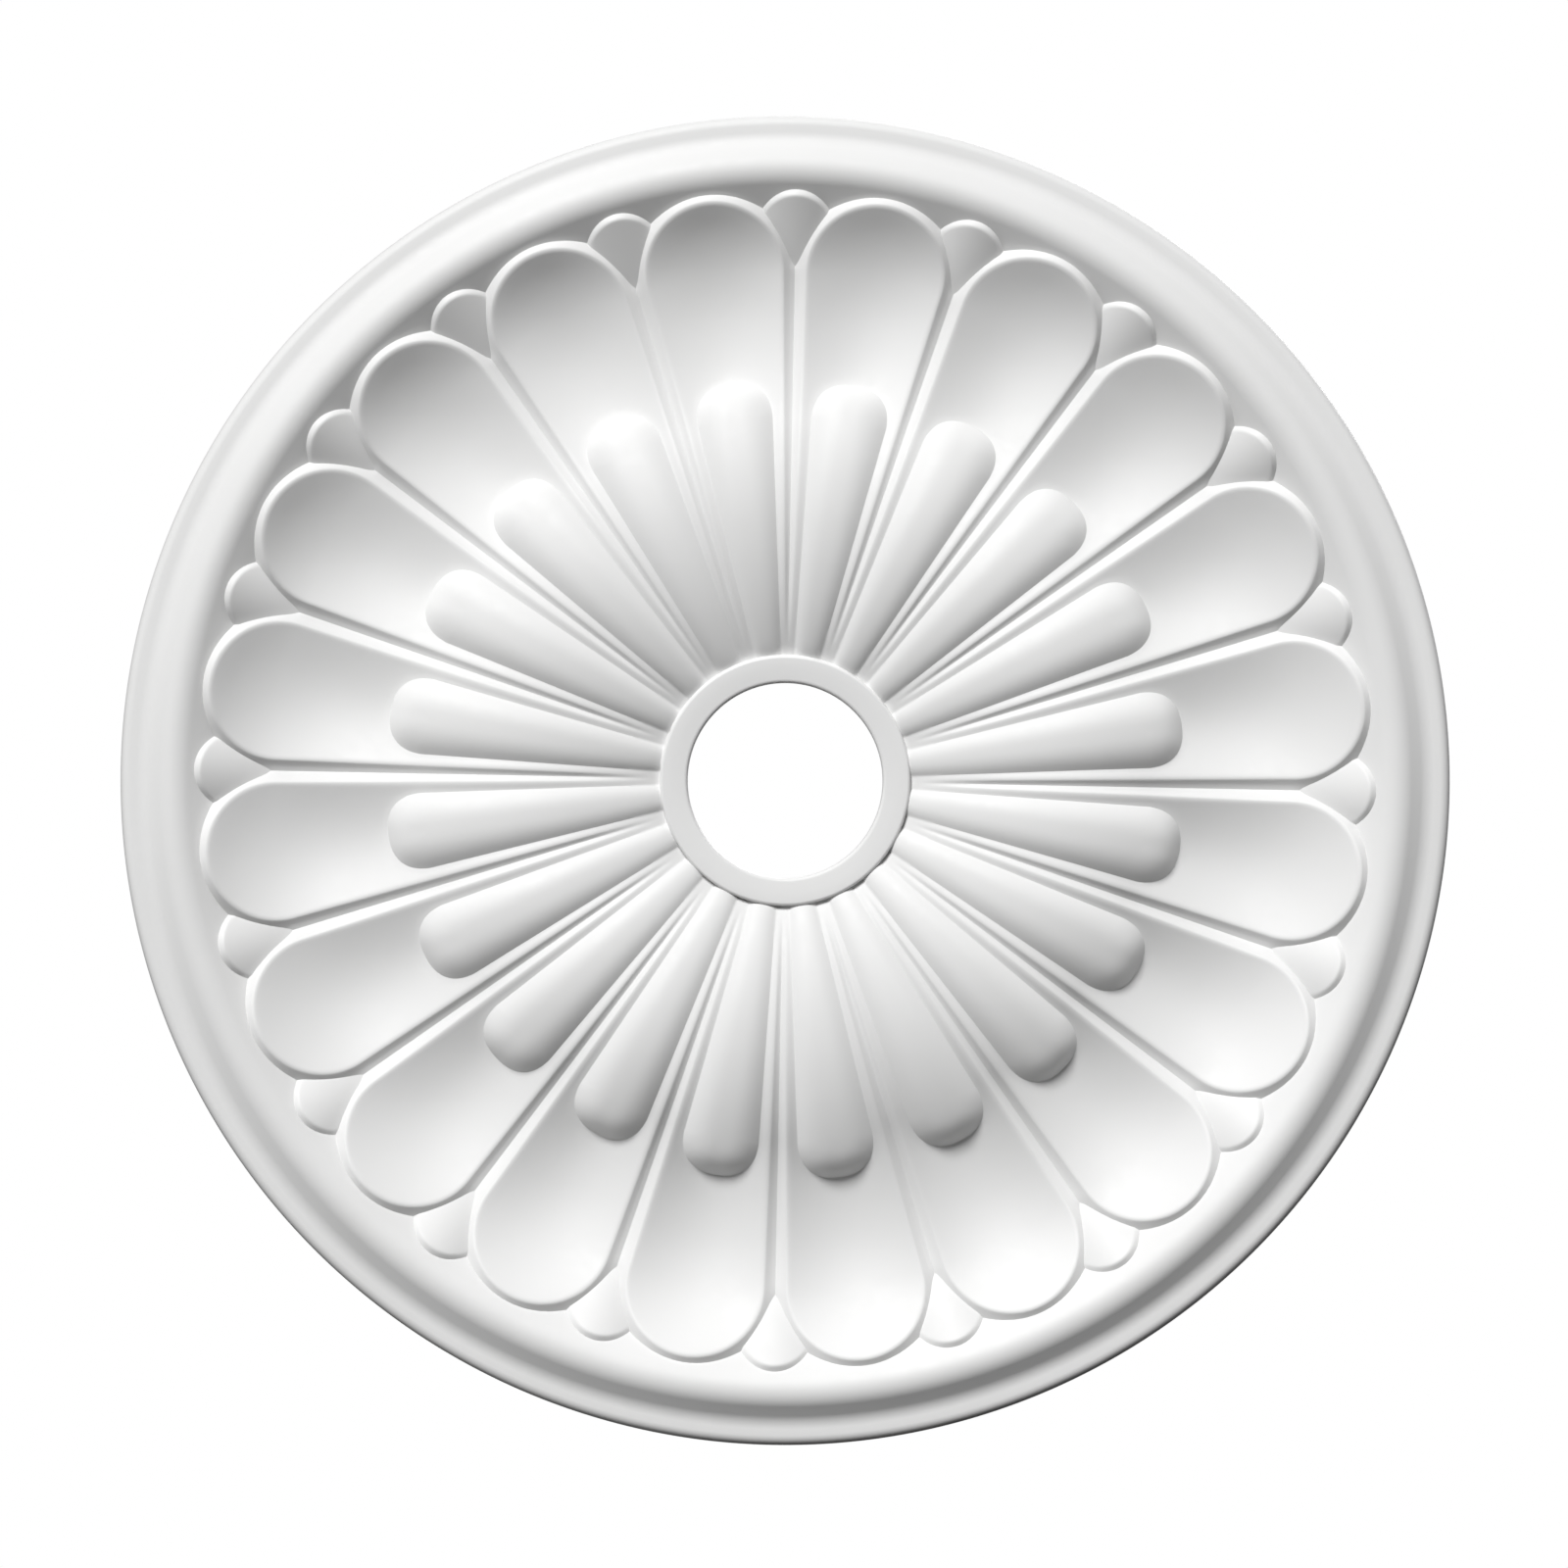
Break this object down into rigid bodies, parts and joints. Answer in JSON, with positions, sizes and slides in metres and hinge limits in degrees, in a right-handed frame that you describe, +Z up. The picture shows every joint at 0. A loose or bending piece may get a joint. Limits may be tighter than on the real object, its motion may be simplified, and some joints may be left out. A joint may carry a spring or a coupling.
{
  "type": "ceiling rose",
  "caption": "Round moulded ceiling rose with hollowed radiating petals and raised inner lobes, a rolled outer frame and a centre hole for a light fitting.",
  "frame": {"origin": "centre of the flat back face, which lies against the ceiling", "axes": "+Z up, out of the flat back into the ceiling; the carved face looks down, -Z; X and Y in the ceiling's plane, with a groove between two petals along +X"},
  "size_m": [0.6799, 0.68, 0.0362],
  "materials": {
    "moulded_white": "satin"
  },
  "bodies": {
    "root": {"ceiling_rose": "moulded_white"}
  },
  "joints": []
}
